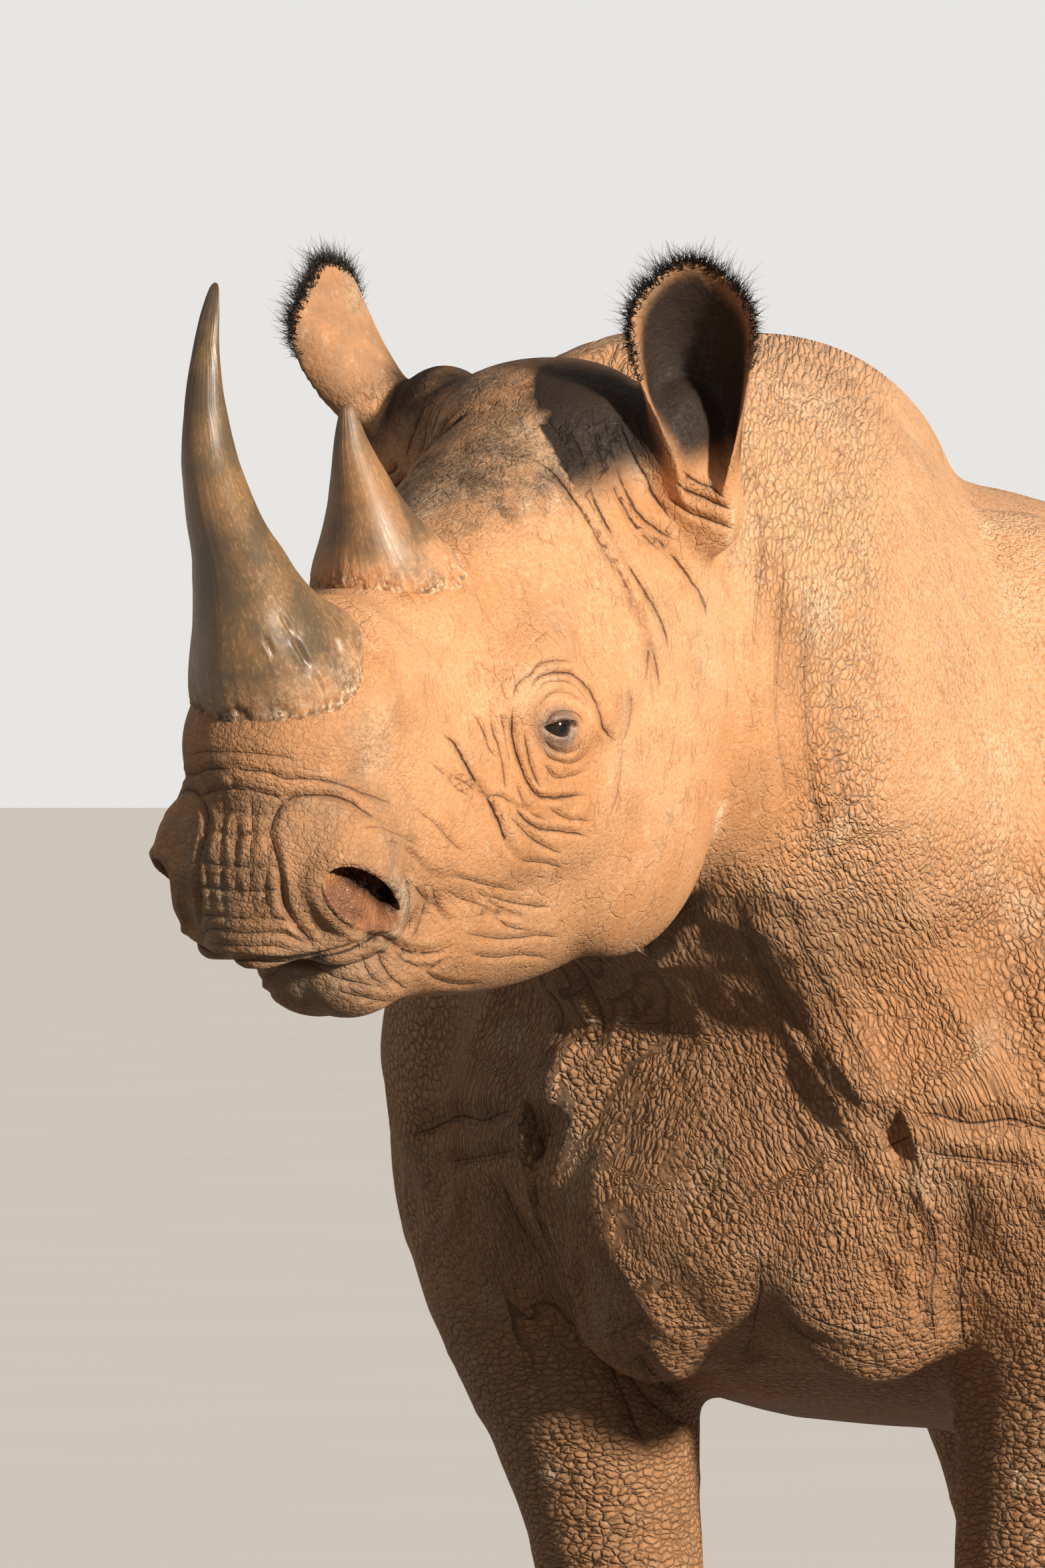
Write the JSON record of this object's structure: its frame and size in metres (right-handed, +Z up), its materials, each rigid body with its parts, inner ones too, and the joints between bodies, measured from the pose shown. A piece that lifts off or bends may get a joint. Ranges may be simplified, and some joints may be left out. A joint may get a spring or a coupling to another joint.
{
  "type": "standing black rhinoceros model",
  "caption": "Life-size still model of a standing black rhinoceros with curled ears, a long front horn, a short rear horn and a hanging tail.",
  "frame": {"origin": "on the floor, under the middle of the bounding box", "axes": "the body lies along Y and the animal faces -Y, its left side is towards +X, +Z is up"},
  "size_m": [0.8769, 3.0639, 1.5558],
  "materials": {
    "skin": "dry wrinkled hide, dusty ochre, matt",
    "horn": "keratin, worn to a low polish, streaked along its length",
    "nail": "keratin, dull and scuffed",
    "eye": "dark brown, wet gloss"
  },
  "bodies": {
    "root": {"head": "skin", "neck": "skin", "trunk": "skin", "tail": "skin", "foreleg_left": "skin", "foreleg_right": "skin", "hindleg_left": "skin", "hindleg_right": "skin", "ear_left": "skin", "ear_right": "skin", "eye_left": "eye", "eye_right": "eye", "horn_front": "horn", "horn_rear": "horn", "nail_fore_left_inner": "nail", "nail_fore_left_middle": "nail", "nail_fore_left_outer": "nail", "nail_fore_right_inner": "nail", "nail_fore_right_middle": "nail", "nail_fore_right_outer": "nail", "nail_hind_left_inner": "nail", "nail_hind_left_middle": "nail", "nail_hind_left_outer": "nail", "nail_hind_right_inner": "nail", "nail_hind_right_middle": "nail", "nail_hind_right_outer": "nail"}
  },
  "joints": []
}
